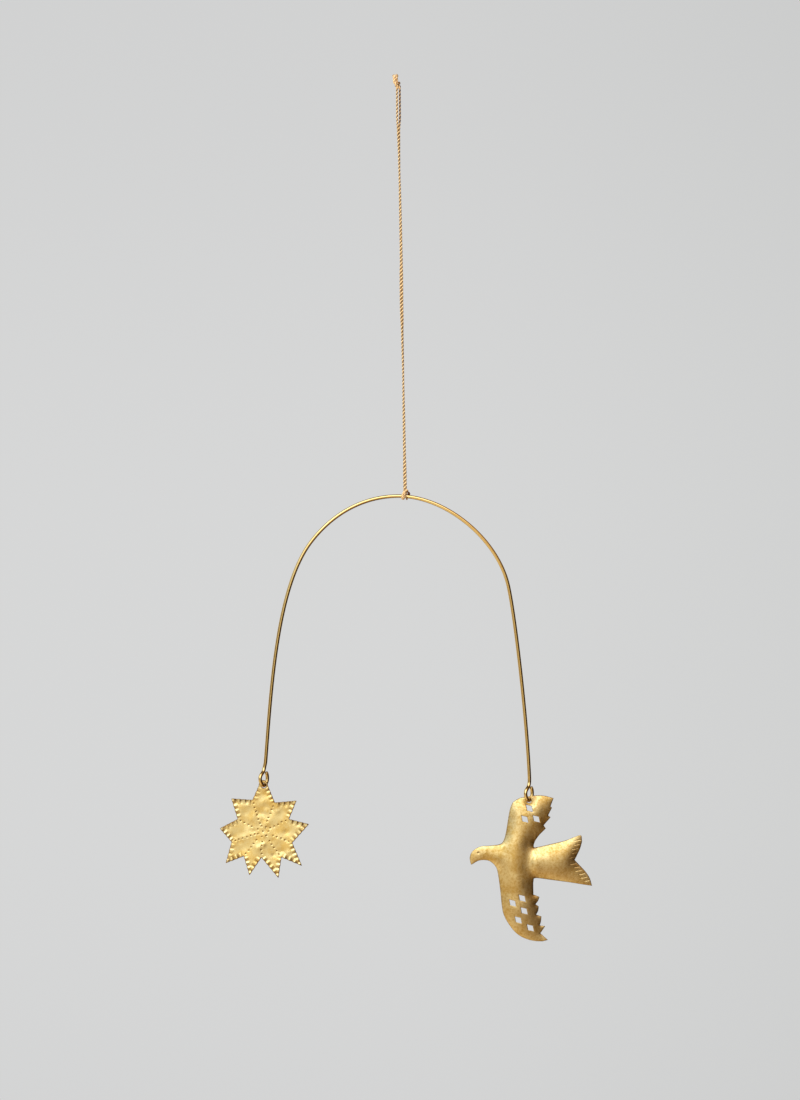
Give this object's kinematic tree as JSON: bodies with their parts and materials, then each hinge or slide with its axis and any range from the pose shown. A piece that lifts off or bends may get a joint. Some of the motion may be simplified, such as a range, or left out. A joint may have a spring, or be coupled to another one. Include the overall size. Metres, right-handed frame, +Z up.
{
  "type": "hanging mobile sculpture",
  "caption": "Hanging mobile: a many-pointed hammered star and a pierced, domed bird swing from the eyes of a bent brass wire arch hung on a doubled twisted cord.",
  "frame": {"origin": "inside of the hanging loop, just under the top knot, where a hook or nail carries the part", "axes": "+Z up along the cord, +X across the arch from the star to the bird, front faces -Y"},
  "size_m": [0.1856, 0.0069, 0.4354],
  "materials": {
    "brass_wire": "smooth drawn wire, satin with soft polish",
    "hammered_brass": "softly dented sheet with punched dots and fluted edges, lightly rubbed",
    "brushed_brass": "domed sheet, finely rubbed, with darker hollows",
    "gold_cord": "twisted gold-brown thread"
  },
  "bodies": {
    "hanger": {"top_knot": "gold_cord", "cord_strand_left": "gold_cord", "cord_strand_right": "gold_cord"},
    "arch": {"wire_arch": "brass_wire", "arch_knot": "gold_cord"},
    "star": {"star": "hammered_brass"},
    "bird": {"bird": "brushed_brass"}
  },
  "joints": [
    {"name": "arch_turn", "type": "hinge", "parent": "hanger", "child": "arch", "pos_m": [0, 0, -0.2007], "axis": [0, 0, 1], "range_deg": [-180, 180]},
    {"name": "star_swing", "type": "hinge", "parent": "arch", "child": "star", "pos_m": [-0.07307, -0.00025, -0.3476], "axis": [0, 1, 0], "range_deg": [-30, 30]},
    {"name": "bird_swing", "type": "hinge", "parent": "arch", "child": "bird", "pos_m": [0.05933, -0.00025, -0.3573], "axis": [0, 1, 0], "range_deg": [-40, 40]}
  ]
}
